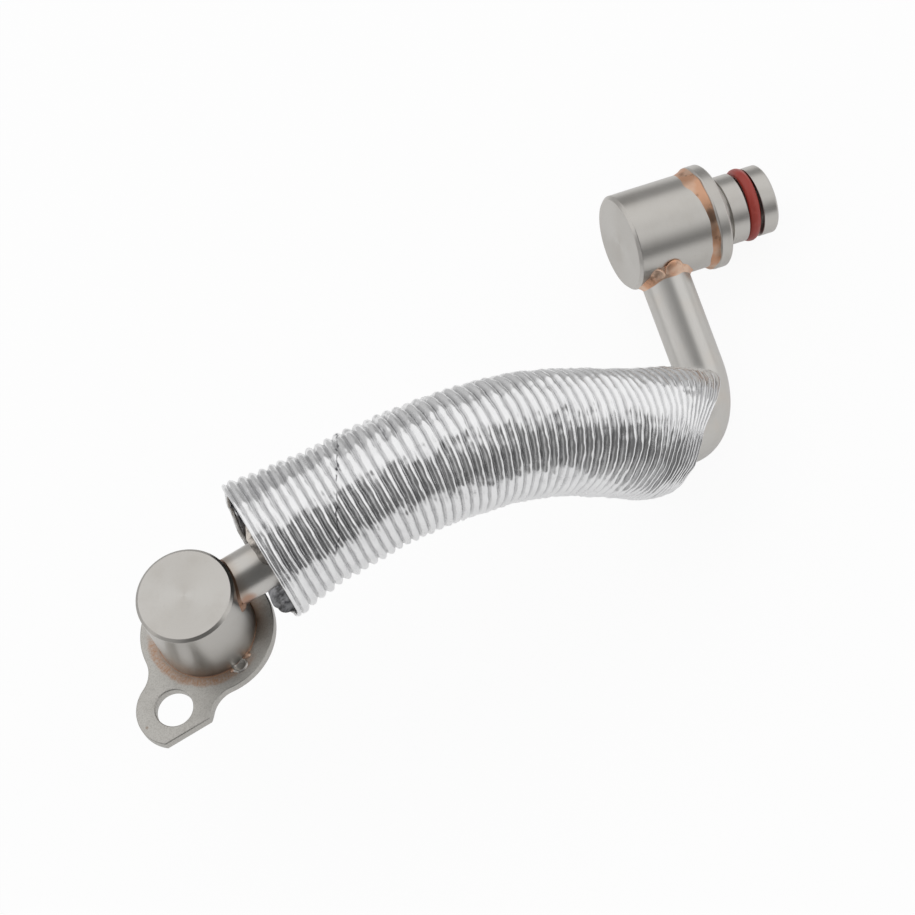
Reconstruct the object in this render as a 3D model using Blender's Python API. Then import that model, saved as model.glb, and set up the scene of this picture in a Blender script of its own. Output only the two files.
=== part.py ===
# Coolant pipe for an engine: a brazed steel tube between a bolted flange and a push-in
# spigot, with a corrugated foil heat sleeve round its middle.
#
# The origin is the centre of the flange's mounting face. +Z runs up the flange barrel to
# its closed cap, and +X is the way the tube leaves the barrel. Sizes are in metres.

from math import acos, atan2, cos, exp, pi, radians, sin, sqrt, tan

import bmesh
import bpy
from mathutils import Matrix, Vector

mm = 0.001
seat_gap = 0.3 * mm         # play between two pieces that touch
cut_margin = 1.0 * mm       # how far a cutter runs past what it cuts

# Tube
tube_outer = 10.0 * mm
tube_wall = 1.0 * mm
first_run = 75.5 * mm       # from the flange barrel's axis to the first corner
first_bend = 64.6 * mm      # radius of the long bend in the sleeve
middle_run = 59.7 * mm
middle_heading = radians(-12.2)
middle_slope = radians(-57.9)
second_bend = 13.6 * mm     # radius of the tight bend at the sleeve's end
last_run = 47.0 * mm        # from the second corner to the spigot barrel's axis
last_heading = radians(78.8)
last_slope = radians(19.3)

# Flange plate
flange_thickness = 2.3 * mm
flange_margin = 3.65 * mm   # round the flange barrel
bolt_hole = 7.5 * mm
bolt_distance = 16.9 * mm   # from the port's axis to the bolt hole's axis
bolt_angle = radians(219.7)
bolt_margin = 3.9 * mm      # round the bolt hole
lobe_fillet = 5.8 * mm
lobe_flat = 5.85 * mm       # from the bolt hole's axis to the straight edge
lobe_flat_way = radians(270.0)
plate_edge = 0.25 * mm

# Both barrels
barrel_outer = 19.5 * mm
barrel_wall = 2.0 * mm
barrel_cap = 2.5 * mm
barrel_chamfer = 0.5 * mm
flange_barrel_top = 20.2 * mm   # the cap's face above the mounting face
cap_land = 0.2 * mm         # between the cap's chamfer and the tube's hole
spigot_land = 0.7 * mm      # the same at the spigot barrel's closed end
stub_clearance = 2.25 * mm   # between the tube's hole and the spigot's stub
spigot_turn = radians(22.0)  # how far the spigot is turned about the tube's last run

# Both plug-in ends
plug_outer = 14.0 * mm
plug_bore = 8.4 * mm
plug_chamfer = 0.4 * mm
seal_groove_depth = 1.8 * mm
o_ring_section = 1.9 * mm
o_ring_width = 2.35 * mm    # along the plug
spigot_groove_play = 0.6 * mm
nozzle_groove_play = 0.3 * mm
nozzle_length = 8.5 * mm    # below the mounting face
nozzle_land = 2.8 * mm      # between the nozzle's end and its groove
nozzle_floor = 2.0 * mm     # from the flange's top up to the barrel's bore
stub_length = 3.0 * mm      # what the spigot plugs into its barrel
collar_step = 0.85 * mm     # how far it stands out from its barrel
collar_thickness = 2.9 * mm
collar_chamfer = 0.4 * mm
undercut_width = 1.95 * mm
undercut_depth = 0.7 * mm
inner_land = 5.45 * mm      # from the collar to the groove, undercut included
outer_land = 3.3 * mm

# Braze fillets
tube_braze = 1.3 * mm
flange_braze = 1.3 * mm
collar_braze = 1.1 * mm
braze_waist = 0.3           # how hollow a fillet is: 0.5 is a plain chamfer

# Heat sleeve
sleeve_start = 17.0 * mm    # its mouth, along the tube from the flange barrel's axis
sleeve_past_bend = 4.5 * mm  # how far its rim's middle runs past the start of the tight bend
sleeve_radius = 12.55 * mm  # over the crests
mouth_flare = 2.6 * mm
flare_length = 8.7 * mm
sleeve_wall = 0.5 * mm
rib_depth = 0.8 * mm
rib_count = 54
rib_crowding = 0.1          # the ribs stand this much wider at the mouth and closer at the rim
fan_start = 0.76            # the share of the sleeve after which the ribs fan out to the rim
fan_power = 1.5             # how late in that part they fan out
lift_way = Vector((0.0, 0.894, 0.448))  # square to this the sleeve sits centred on the tube
sleeve_lift = ((0.0, 2.5 * mm), (0.5, 0.8 * mm), (0.78, -0.6 * mm), (1.0, 3.1 * mm))
rim_tip = 4.3 * mm          # beside the tube's last run
rim_front = -6.3 * mm
rim_bottom = -4.3 * mm
rim_back = 2.5 * mm

# Fineness of the round forms
turned_sides = 32
tube_sides = 18
sleeve_sides = 18
seal_sides = 8
arc_step = radians(9.0)

tube_radius = tube_outer / 2
tube_hole = tube_radius + seat_gap
barrel_radius = barrel_outer / 2
barrel_bore = barrel_radius - barrel_wall
plug_radius = plug_outer / 2
groove_radius = plug_radius - seal_groove_depth
spigot_groove = o_ring_width + seat_gap + spigot_groove_play
nozzle_groove = o_ring_width + seat_gap + nozzle_groove_play
collar_radius = barrel_radius + collar_step
flange_radius = barrel_radius + flange_margin
bolt_lobe = bolt_hole / 2 + bolt_margin
tube_height = flange_barrel_top - barrel_chamfer - cap_land - tube_hole
spigot_inset = barrel_chamfer + spigot_land + tube_hole  # from the closed end to the tube's axis
spigot_barrel_length = spigot_inset + tube_hole + stub_clearance + stub_length


def clear_scene():
    for old in list(bpy.data.objects):
        bpy.data.objects.remove(old, do_unlink=True)


def heading(azimuth, slope):
    """The unit vector at these angles from +X and from the level."""
    return Vector((cos(slope) * cos(azimuth), cos(slope) * sin(azimuth), sin(slope)))


def eased(table, place):
    """A smooth value between the (place, value) pairs of a table."""
    for (start, low), (end, high) in zip(table, table[1:]):
        if place <= end:
            share = (place - start) / (end - start)
            return low + (high - low) * (1 - cos(pi * share)) / 2
    return table[-1][1]


def material(name, colour, roughness, metallic):
    made = bpy.data.materials.new(name)
    made.use_nodes = True
    shader = made.node_tree.nodes["Principled BSDF"]
    shader.inputs["Base Color"].default_value = (*colour, 1.0)
    shader.inputs["Roughness"].default_value = roughness
    shader.inputs["Metallic"].default_value = metallic
    return made


def add_object(name, work, finish, placing=Matrix.Identity(4), crease=radians(35)):
    """Turns a bmesh into an object, shaded smooth apart from its real edges."""
    bmesh.ops.recalc_face_normals(work, faces=work.faces)
    mesh = bpy.data.meshes.new(name)
    work.to_mesh(mesh)
    work.free()
    mesh.shade_smooth()
    mesh.set_sharp_from_angle(angle=crease)
    made = bpy.data.objects.new(name, mesh)
    made.matrix_world = placing
    if finish:
        mesh.materials.append(finish)
    bpy.context.collection.objects.link(made)
    return made


def turned(name, profile, finish, placing=Matrix.Identity(4), sides=turned_sides):
    """Revolves a closed outline of (radius, height) points about the local Z axis."""
    work = bmesh.new()
    rings = []
    for radius, height in profile:
        if radius == 0:
            rings.append([work.verts.new((0, 0, height))])
            continue
        turns = [2 * pi * k / sides for k in range(sides)]
        rings.append([work.verts.new((radius * cos(t), radius * sin(t), height)) for t in turns])
    for one, two in zip(rings, rings[1:] + rings[:1]):
        if len(one) == 1 and len(two) == 1:
            continue
        for k in range(sides):
            corners = [one[k % len(one)], one[(k + 1) % len(one)]]
            corners += [two[(k + 1) % len(two)], two[k % len(two)]]
            work.faces.new(list(dict.fromkeys(corners)))
    return add_object(name, work, finish, placing)


def shell(name, outer, inner, finish):
    """A tube-like body between two stacks of rings, closed at both of its ends."""
    work = bmesh.new()
    sides = len(outer[0])
    loops = [[work.verts.new(point) for point in ring] for ring in outer + inner[::-1]]
    for one, two in zip(loops, loops[1:] + loops[:1]):
        for k in range(sides):
            after = (k + 1) % sides
            work.faces.new((one[k], one[after], two[after], two[k]))
    return add_object(name, work, finish)


def cut(piece, cutter):
    """Takes the cutter out of the piece, and keeps the cutter as a hidden guide."""
    cutter.hide_render = True
    cutter.display_type = "WIRE"
    hole = piece.modifiers.new("cut_" + cutter.name, "BOOLEAN")
    hole.operation = "DIFFERENCE"
    hole.solver = "EXACT"
    hole.object = cutter


def cylinder_cutter(name, radius, start, end):
    """A round cutter from one point to another."""
    way = end - start
    placing = Matrix.Translation(start) @ way.to_track_quat("Z", "Y").to_matrix().to_4x4()
    profile = [(0, way.length), (radius, way.length), (radius, 0), (0, 0)]
    return turned(name, profile, None, placing, tube_sides * 2)


class Route:
    """Straight runs joined by arcs, walked by the distance along them."""

    def __init__(self, corners, radii):
        self.legs = []
        at = corners[0]
        for before, corner, after, radius in zip(corners, corners[1:], corners[2:], radii):
            way_in = (corner - before).normalized()
            way_out = (after - corner).normalized()
            turn = way_in.angle(way_out)
            touch = corner - way_in * radius * tan(turn / 2)
            self.legs.append(("run", at, way_in, (touch - at).length))
            inward = (way_out - way_in * way_out.dot(way_in)).normalized()
            self.legs.append(("arc", touch, way_in, radius * turn, inward, radius))
            at = corner + way_out * radius * tan(turn / 2)
        last = (corners[-1] - corners[-2]).normalized()
        self.legs.append(("run", at, last, (corners[-1] - at).length))
        self.length = sum(leg[3] for leg in self.legs)

    def walk(self, distance):
        """The point and the direction at a distance from the route's start."""
        for leg in self.legs:
            if distance <= leg[3] or leg is self.legs[-1]:
                break
            distance -= leg[3]
        start, way = leg[1], leg[2]
        if leg[0] == "run":
            return start + way * distance, way
        inward, radius = leg[4], leg[5]
        turn = distance / radius
        point = start + way * radius * sin(turn) + inward * radius * (1 - cos(turn))
        return point, way * cos(turn) + inward * sin(turn)

    def stations(self, start, end):
        """Distances at the ends of the runs and at even steps round the arcs."""
        found = [start]
        reached = 0
        for leg in self.legs:
            steps = 1 if leg[0] == "run" else max(2, round(leg[3] / leg[5] / arc_step))
            for k in range(steps):
                found.append(reached + leg[3] * k / steps)
            reached += leg[3]
        return [start] + [d for d in found if start < d < end] + [end]


def ring_of(centre, across, beside, radii):
    """Points round a centre, one for each radius given."""
    sides = len(radii)
    turns = [2 * pi * k / sides for k in range(sides)]
    return [centre + (across * cos(t) + beside * sin(t)) * r for t, r in zip(turns, radii)]


def square_to(way, hint):
    """The part of a hint that is square to a direction."""
    return (hint - way * hint.dot(way)).normalized()


# Where the route and the spigot fitting lie
start_point = Vector((0, 0, tube_height))
first_corner = start_point + Vector((first_run, 0, 0))
second_corner = first_corner + heading(middle_heading, middle_slope) * middle_run
last_way = heading(last_heading, last_slope)
spigot_point = second_corner + last_way * last_run
tube_route = Route([start_point, first_corner, second_corner, spigot_point], [first_bend, second_bend])
sleeve_route = Route([start_point, first_corner, second_corner], [first_bend])
second_turn = heading(middle_heading, middle_slope).angle(last_way)
tight_bend_start = sleeve_route.length - second_bend * tan(second_turn / 2)

level = Vector((sin(last_heading), -cos(last_heading), 0))
spigot_axis = level * cos(spigot_turn) + last_way.cross(level) * sin(spigot_turn)
spigot_end = spigot_point - spigot_axis * spigot_inset
spigot_side = -last_way
spigot_frame = Matrix((spigot_side, spigot_axis.cross(spigot_side), spigot_axis)).transposed().to_4x4()
spigot_frame = Matrix.Translation(spigot_end) @ spigot_frame


def coolant_tube(finish):
    """The bent tube, from one barrel's bore to the other's."""
    outer, inner = [], []
    across = Vector((0, 0, 1))
    for distance in tube_route.stations(barrel_bore, tube_route.length - barrel_bore):
        point, way = tube_route.walk(distance)
        across = square_to(way, across)
        beside = way.cross(across)
        outer.append(ring_of(point, across, beside, [tube_radius] * tube_sides))
        inner.append(ring_of(point, across, beside, [tube_radius - tube_wall] * tube_sides))
    shell("coolant_tube", outer, inner, finish)


def rim_advance(angle):
    """How far the sleeve's far rim runs past its middle, at an angle from the tube's side."""
    bend_inside = second_bend - tube_radius
    height = sleeve_lift[-1][1] + sleeve_radius - second_bend
    at_tube = sqrt(bend_inside**2 - height**2) - seat_gap - sleeve_past_bend
    table = (
        (0, at_tube),
        (radians(32), rim_tip),
        (radians(120), rim_front),
        (radians(210), rim_bottom),
        (radians(300), rim_back),
        (2 * pi, at_tube),
    )
    return eased(table, angle)


def heat_sleeve(finish):
    """The corrugated foil sleeve: one ring of points for each crest and each root."""
    outer, inner = [], []
    length = tight_bend_start + sleeve_past_bend - sleeve_start
    turns = [2 * pi * k / sleeve_sides for k in range(sleeve_sides)]
    for half_rib in range(2 * rib_count + 1):
        share = half_rib / (2 * rib_count)
        place = share * (1 + rib_crowding) - share**2 * rib_crowding
        point, way = sleeve_route.walk(sleeve_start + length * place)
        across = square_to(way, lift_way)
        beside = way.cross(across)
        centre = point + across * eased(sleeve_lift, place)
        radius = sleeve_radius + mouth_flare * exp(-length * place / flare_length)
        radius -= rib_depth * (half_rib % 2)
        fan = max(0, (place - fan_start) / (1 - fan_start)) ** fan_power
        pushed = [way * rim_advance(t) * fan for t in turns]
        for rings, size in ((outer, radius), (inner, radius - sleeve_wall)):
            ring = ring_of(centre, across, beside, [size] * sleeve_sides)
            rings.append([p + push for p, push in zip(ring, pushed)])
    shell("heat_sleeve", outer, inner, finish)


def on_circle(centre, radius, turn):
    return centre + Vector((cos(turn), sin(turn))) * radius


def bolt_centre():
    return on_circle(Vector((0, 0)), bolt_distance, bolt_angle)


def arc_points(centre, radius, start, end):
    """Points of an arc from one angle to another, both ends included."""
    steps = max(2, round(abs(end - start) / arc_step))
    return [on_circle(centre, radius, start + (end - start) * k / steps) for k in range(steps + 1)]


def flange_outline():
    """A round lobe and a bolt lobe with one straight edge, blended by two hollow arcs."""
    big, small = flange_radius + lobe_fillet, bolt_lobe + lobe_fillet
    along = (big**2 - small**2 + bolt_distance**2) / (2 * bolt_distance)
    aside = sqrt(big**2 - along**2)
    port_turn = atan2(aside, along)
    bolt_turn = atan2(aside, along - bolt_distance)
    port, bolt = Vector((0, 0)), bolt_centre()
    left = on_circle(port, big, bolt_angle - port_turn)
    right = on_circle(port, big, bolt_angle + port_turn)
    half_flat = acos(lobe_flat / bolt_lobe)
    flat_start, flat_end = lobe_flat_way - half_flat, lobe_flat_way + half_flat
    port_sides = bolt_angle - port_turn, bolt_angle + port_turn
    bolt_sides = bolt_angle - bolt_turn, bolt_angle + bolt_turn
    outline = arc_points(port, flange_radius, port_sides[1], port_sides[0] + 2 * pi)
    outline += arc_points(left, lobe_fillet, port_sides[0] + pi, bolt_sides[0] + pi)[1:]
    outline += arc_points(bolt, bolt_lobe, bolt_sides[0], flat_start)[1:]
    outline += arc_points(bolt, bolt_lobe, flat_end, bolt_sides[1])
    outline += arc_points(right, lobe_fillet, bolt_sides[1] - pi, port_sides[1] - pi)[1:-1]
    return outline


def flange_plate(finish):
    """The plate, with the hole its barrel's nozzle passes through and the bolt hole."""
    work = bmesh.new()
    base = work.faces.new([work.verts.new((p.x, p.y, 0)) for p in flange_outline()])
    raised = bmesh.ops.extrude_face_region(work, geom=[base])["geom"]
    top = [g for g in raised if isinstance(g, bmesh.types.BMVert)]
    bmesh.ops.translate(work, vec=(0, 0, flange_thickness), verts=top)
    plate = add_object("flange_plate", work, finish)
    edges = plate.modifiers.new("edges", "BEVEL")
    edges.width = plate_edge
    edges.segments = 1
    edges.angle_limit = radians(60)
    bolt = bolt_centre()
    low, high = Vector((0, 0, -cut_margin)), Vector((0, 0, flange_thickness + cut_margin))
    cut(plate, cylinder_cutter("port_cutter", plug_radius + seat_gap, low, high))
    across = Vector((bolt.x, bolt.y, 0))
    cut(plate, cylinder_cutter("bolt_cutter", bolt_hole / 2, across + low, across + high))


def tube_cutter(name, crossing, way):
    """The hole for the tube in a barrel's wall, drilled as far as the bore is that wide."""
    depth = sqrt(barrel_bore**2 - tube_hole**2)
    outside = crossing + way * (barrel_radius + cut_margin)
    return cylinder_cutter(name, tube_hole, crossing + way * depth, outside)


def grooved(start, width):
    """The four corners of an O-ring groove in a plug, from its lower end up."""
    end = start + width
    return [(plug_radius, start), (groove_radius, start), (groove_radius, end), (plug_radius, end)]


def flange_barrel(finish):
    """The turned cup: closed cap on top, and below it the nozzle that plugs in."""
    bore = plug_bore / 2
    shoulder = flange_thickness + seat_gap
    roof = flange_barrel_top - barrel_cap
    profile = [(bore, -nozzle_length), (plug_radius - plug_chamfer, -nozzle_length)]
    profile += [(plug_radius, plug_chamfer - nozzle_length)]
    profile += grooved(nozzle_land - nozzle_length, nozzle_groove)
    profile += [(plug_radius, shoulder), (barrel_radius, shoulder)]
    profile += [(barrel_radius, flange_barrel_top - barrel_chamfer)]
    profile += [(barrel_radius - barrel_chamfer, flange_barrel_top), (0, flange_barrel_top)]
    profile += [(0, roof), (barrel_bore, roof)]
    profile += [(barrel_bore, shoulder + nozzle_floor), (bore, shoulder + nozzle_floor)]
    barrel = turned("flange_barrel", profile, finish)
    cut(barrel, tube_cutter("lower_tube_cutter", start_point, Vector((1, 0, 0))))


def spigot_barrel(finish):
    """The second cup, closed at the end away from the spigot."""
    profile = [(0, 0), (barrel_radius - barrel_chamfer, 0), (barrel_radius, barrel_chamfer)]
    profile += [(barrel_radius, spigot_barrel_length), (barrel_bore, spigot_barrel_length)]
    profile += [(barrel_bore, barrel_cap), (0, barrel_cap)]
    barrel = turned("spigot_barrel", profile, finish, spigot_frame)
    cut(barrel, tube_cutter("upper_tube_cutter", spigot_point, spigot_side))


collar_back = spigot_barrel_length + seat_gap
collar_front = collar_back + collar_thickness
spigot_groove_start = collar_front + inner_land


def spigot_nose(finish):
    """The turned end piece: stub, collar, undercut, groove and outer land, bored through."""
    bore, stub, rim = plug_bore / 2, barrel_bore - seat_gap, collar_radius
    neck = plug_radius - undercut_depth
    tip = spigot_groove_start + spigot_groove + outer_land
    profile = [(bore, spigot_barrel_length - stub_length), (stub, spigot_barrel_length - stub_length)]
    profile += [(stub, collar_back), (rim - collar_chamfer, collar_back)]
    profile += [(rim, collar_back + collar_chamfer)]
    profile += [(rim, collar_front - collar_chamfer), (rim - collar_chamfer, collar_front)]
    profile += [(neck, collar_front), (neck, collar_front + undercut_width)]
    profile += [(plug_radius, collar_front + undercut_width)]
    profile += grooved(spigot_groove_start, spigot_groove)
    profile += [(plug_radius, tip - plug_chamfer), (plug_radius - plug_chamfer, tip), (bore, tip)]
    turned("spigot_nose", profile, finish, spigot_frame)


def o_ring(name, height, finish, placing=Matrix.Identity(4)):
    """A rubber ring seated on its groove's floor."""
    section, width = o_ring_section / 2, o_ring_width / 2
    middle = groove_radius + seat_gap + section
    turns = [2 * pi * k / seal_sides for k in range(seal_sides)]
    profile = [(middle + section * cos(t), height + width * sin(t)) for t in turns]
    turned(name, profile, finish, placing)


def braze_ring(name, inner, base, out, up, finish, placing=Matrix.Identity(4)):
    """A hollow fillet in the corner between a round wall and a flat face."""
    hollow = (inner + out * braze_waist, base + up * braze_waist)
    profile = [(inner, base), (inner + out, base), hollow, (inner, base + up)]
    turned(name, profile, finish, placing)


def tube_fillet(name, crossing, way, closed_end_way, closed_end, finish):
    """The braze round a tube where it enters a barrel. It follows the barrel's curve, and
    it thins out where the barrel's closed end is near."""
    beside = closed_end_way.cross(way)
    rings = []
    for k in range(tube_sides):
        turn = 2 * pi * k / tube_sides
        radial = closed_end_way * cos(turn) + beside * sin(turn)
        spread = tube_braze
        if cos(turn) > 0:
            spread = min(tube_braze, closed_end / cos(turn) - tube_hole)

        def on_wall(radius, lift):
            reach = sqrt(barrel_radius**2 - (radius * sin(turn)) ** 2) + seat_gap + lift
            return crossing + radial * radius + way * reach

        rings.append([
            on_wall(tube_hole, 0),
            on_wall(tube_hole + spread, 0),
            on_wall(tube_hole + spread * braze_waist, tube_braze * braze_waist),
            on_wall(tube_hole, tube_braze),
        ])
    work = bmesh.new()
    loops = [[work.verts.new(point) for point in ring] for ring in rings]
    for one, two in zip(loops, loops[1:] + loops[:1]):
        for k in range(len(one)):
            after = (k + 1) % len(one)
            work.faces.new((one[k], one[after], two[after], two[k]))
    add_object(name, work, finish)


def build():
    clear_scene()
    turned_steel = material("turned_steel", (0.56, 0.54, 0.50), 0.32, 1.0)
    blasted_steel = material("blasted_steel", (0.46, 0.44, 0.41), 0.5, 1.0)
    drawn_steel = material("drawn_steel", (0.50, 0.48, 0.45), 0.35, 1.0)
    foil = material("crinkled_foil", (0.86, 0.86, 0.86), 0.22, 1.0)
    braze = material("copper_braze", (0.72, 0.43, 0.29), 0.35, 1.0)
    rubber = material("red_rubber", (0.38, 0.05, 0.03), 0.45, 0.0)
    flange_plate(blasted_steel)
    flange_barrel(turned_steel)
    nozzle_seal = nozzle_land - nozzle_length + nozzle_groove / 2
    o_ring("nozzle_o_ring", nozzle_seal, rubber)
    coolant_tube(drawn_steel)
    heat_sleeve(foil)
    spigot_barrel(turned_steel)
    spigot_nose(turned_steel)
    spigot_seal = spigot_groove_start + seat_gap + o_ring_width / 2
    o_ring("spigot_o_ring", spigot_seal, rubber, spigot_frame)
    clear_barrel = barrel_radius + seat_gap
    plate_top = flange_thickness + seat_gap
    braze_ring("flange_braze", clear_barrel, plate_top, flange_braze, flange_braze, braze)
    spread = collar_radius - collar_chamfer - clear_barrel
    braze_ring("collar_braze", clear_barrel, spigot_barrel_length, spread, -collar_braze, braze, spigot_frame)
    lower_end = flange_barrel_top - barrel_chamfer - tube_height
    tube_fillet("lower_tube_braze", start_point, Vector((1, 0, 0)), Vector((0, 0, 1)), lower_end, braze)
    upper_end = spigot_inset - barrel_chamfer
    tube_fillet("upper_tube_braze", spigot_point, spigot_side, -spigot_axis, upper_end, braze)


build()
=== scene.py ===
from math import acos, atan2, cos, exp, pi, radians, sin, sqrt, tan

import bmesh
import bpy
from mathutils import Matrix, Vector, noise


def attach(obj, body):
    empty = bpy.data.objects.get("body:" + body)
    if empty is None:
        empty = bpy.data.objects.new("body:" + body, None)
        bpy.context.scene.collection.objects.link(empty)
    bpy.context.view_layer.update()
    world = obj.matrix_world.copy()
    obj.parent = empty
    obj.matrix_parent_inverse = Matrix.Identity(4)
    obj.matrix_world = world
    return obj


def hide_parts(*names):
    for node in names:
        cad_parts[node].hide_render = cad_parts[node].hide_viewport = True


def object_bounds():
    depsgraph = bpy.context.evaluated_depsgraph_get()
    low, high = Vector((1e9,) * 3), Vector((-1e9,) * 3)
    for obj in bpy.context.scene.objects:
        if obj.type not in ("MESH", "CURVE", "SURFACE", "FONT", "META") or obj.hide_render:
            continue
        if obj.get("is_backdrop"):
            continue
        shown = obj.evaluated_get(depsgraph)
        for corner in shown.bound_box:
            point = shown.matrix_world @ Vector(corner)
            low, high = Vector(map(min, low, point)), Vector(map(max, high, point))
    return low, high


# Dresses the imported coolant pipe: turned and blasted steel, copper braze, a red O-ring
# and a corrugated foil sleeve. The places and sizes repeat those of the CAD source.

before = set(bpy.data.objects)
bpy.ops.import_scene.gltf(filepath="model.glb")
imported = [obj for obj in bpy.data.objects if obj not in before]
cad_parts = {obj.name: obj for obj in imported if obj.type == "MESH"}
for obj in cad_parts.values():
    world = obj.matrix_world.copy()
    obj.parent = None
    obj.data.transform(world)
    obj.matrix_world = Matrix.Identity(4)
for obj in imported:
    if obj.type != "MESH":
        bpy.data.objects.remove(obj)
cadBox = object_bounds()
noise.seed_set(1)  # fixes the offsets of the vector noise, so each run makes the same lumps
mm = 0.001

tube = {
    "outer": 10.0 * mm,
    "wall": 1.0 * mm,
    "height": 14.2 * mm,
    "firstRun": 75.5 * mm,
    "firstBend": 64.6 * mm,
    "middleRun": 59.7 * mm,
    "middleWay": (radians(-12.2), radians(-57.9)),
    "secondBend": 13.6 * mm,
    "lastRun": 47.0 * mm,
    "lastWay": (radians(78.8), radians(19.3)),
    "sides": 72,
}
barrel = {
    "outer": 19.5 * mm,
    "wall": 2.0 * mm,
    "cap": 2.5 * mm,
    "chamfer": 0.6 * mm,
    "flangeTop": 20.2 * mm,
    "spigotLength": 17.05 * mm,
    "spigotInset": 6.5 * mm,
    "spigotTurn": radians(22.0),
    "sides": 160,
}
plug = {
    "outer": 14.0 * mm,
    "bore": 8.4 * mm,
    "chamfer": 0.4 * mm,
    "grooveDepth": 1.8 * mm,
    "ringSection": 1.9 * mm,
    "ringWidth": 2.35 * mm,
}
edgeRounding = 0.09 * mm


def heading(azimuth, slope):
    return Vector((cos(slope) * cos(azimuth), cos(slope) * sin(azimuth), sin(slope)))


def squareTo(way, hint):
    return (hint - way * hint.dot(way)).normalized()


# Adds nodes to one tree. A socket is linked, anything else is set on the socket.
class Wiring:
    def __init__(self, tree):
        self.tree = tree

    def plug(self, socket, value):
        if isinstance(value, bpy.types.NodeSocket):
            self.tree.links.new(value, socket)
        else:
            socket.default_value = value

    def add(self, kind, inputs=None, **settings):
        made = self.tree.nodes.new(kind)
        for name, value in settings.items():
            setattr(made, name, value)
        for name, value in (inputs or {}).items():
            self.plug(made.inputs[name], value)
        return made

    def math(self, operation, *values):
        made = self.add("ShaderNodeMath", operation=operation)
        for socket, value in zip(made.inputs, values):
            self.plug(socket, value)
        return made.outputs[0]

    def plus(self, one, two):
        return self.math("ADD", one, two)

    def minus(self, one, two):
        return self.math("SUBTRACT", one, two)

    def times(self, one, two):
        return self.math("MULTIPLY", one, two)

    def over(self, one, two):
        return self.math("DIVIDE", one, two)

    def timesPlus(self, one, two, three):
        return self.math("MULTIPLY_ADD", one, two, three)

    def vector(self, operation, *values):
        made = self.add("ShaderNodeVectorMath", operation=operation)
        for socket, value in zip(made.inputs, values):
            self.plug(socket, value)
        return made.outputs["Value"] if operation in ("DOT_PRODUCT", "LENGTH") else made.outputs[0]

    def scaled(self, vector, scale):
        inputs = {"Vector": vector, "Scale": scale}
        return self.add("ShaderNodeVectorMath", inputs, operation="SCALE").outputs[0]

    def distance(self, spot, point):
        return self.vector("LENGTH", self.vector("SUBTRACT", spot, point))

    def axes(self, vector):
        return self.add("ShaderNodeSeparateXYZ", {"Vector": vector}).outputs

    def combined(self, x, y=0.0, z=0.0):
        return self.add("ShaderNodeCombineXYZ", {"X": x, "Y": y, "Z": z}).outputs[0]

    def ramp(self, value, low, high, start=0.0, end=1.0, easing="LINEAR"):
        inputs = {"Value": value, "From Min": low, "From Max": high, "To Min": start, "To Max": end}
        return self.add("ShaderNodeMapRange", inputs, interpolation_type=easing).outputs[0]

    def soft(self, value, low, high, start=0.0, end=1.0):
        return self.ramp(value, low, high, start, end, "SMOOTHSTEP")

    def mix(self, share, one, two):
        made = self.add("ShaderNodeMix", data_type="RGBA")
        for socket, value in zip((made.inputs[0], made.inputs[6], made.inputs[7]), (share, one, two)):
            self.plug(socket, (*value, 1.0) if isinstance(value, tuple) else value)
        return made.outputs[2]

    def grain(self, spot, scale, detail=3.0, roughness=0.55, **more):
        inputs = {"Vector": spot, "Scale": scale, "Detail": detail, "Roughness": roughness, **more}
        return self.add("ShaderNodeTexNoise", inputs).outputs["Fac"]

    def bump(self, height, strength, depth):
        inputs = {"Height": height, "Strength": strength, "Distance": depth}
        return self.add("ShaderNodeBump", inputs).outputs["Normal"]


# Materials

def newFinish(name):
    finish = bpy.data.materials.new(name)
    finish.use_nodes = True
    nodes = Wiring(finish.node_tree)
    return finish, nodes, nodes.add("ShaderNodeTexCoord").outputs["Object"]


def paint(nodes, colour, roughness, normal, metallic=1.0):
    shader = nodes.tree.nodes["Principled BSDF"]
    shader.inputs["Metallic"].default_value = metallic
    for name, value in (("Base Color", colour), ("Roughness", roughness), ("Normal", normal)):
        nodes.plug(shader.inputs[name], value)
    return shader


turnedLook = {
    "colour": (0.60, 0.585, 0.56),
    "stainAndSheen": (0.42, 0.39, 0.35),
    "roughness": 0.30,
    "pitch": 0.16 * mm,
    "fanTurn": -0.3,
    "fanReach": 8.0 * mm,
    "anisotropy": 0.35,
}
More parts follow.
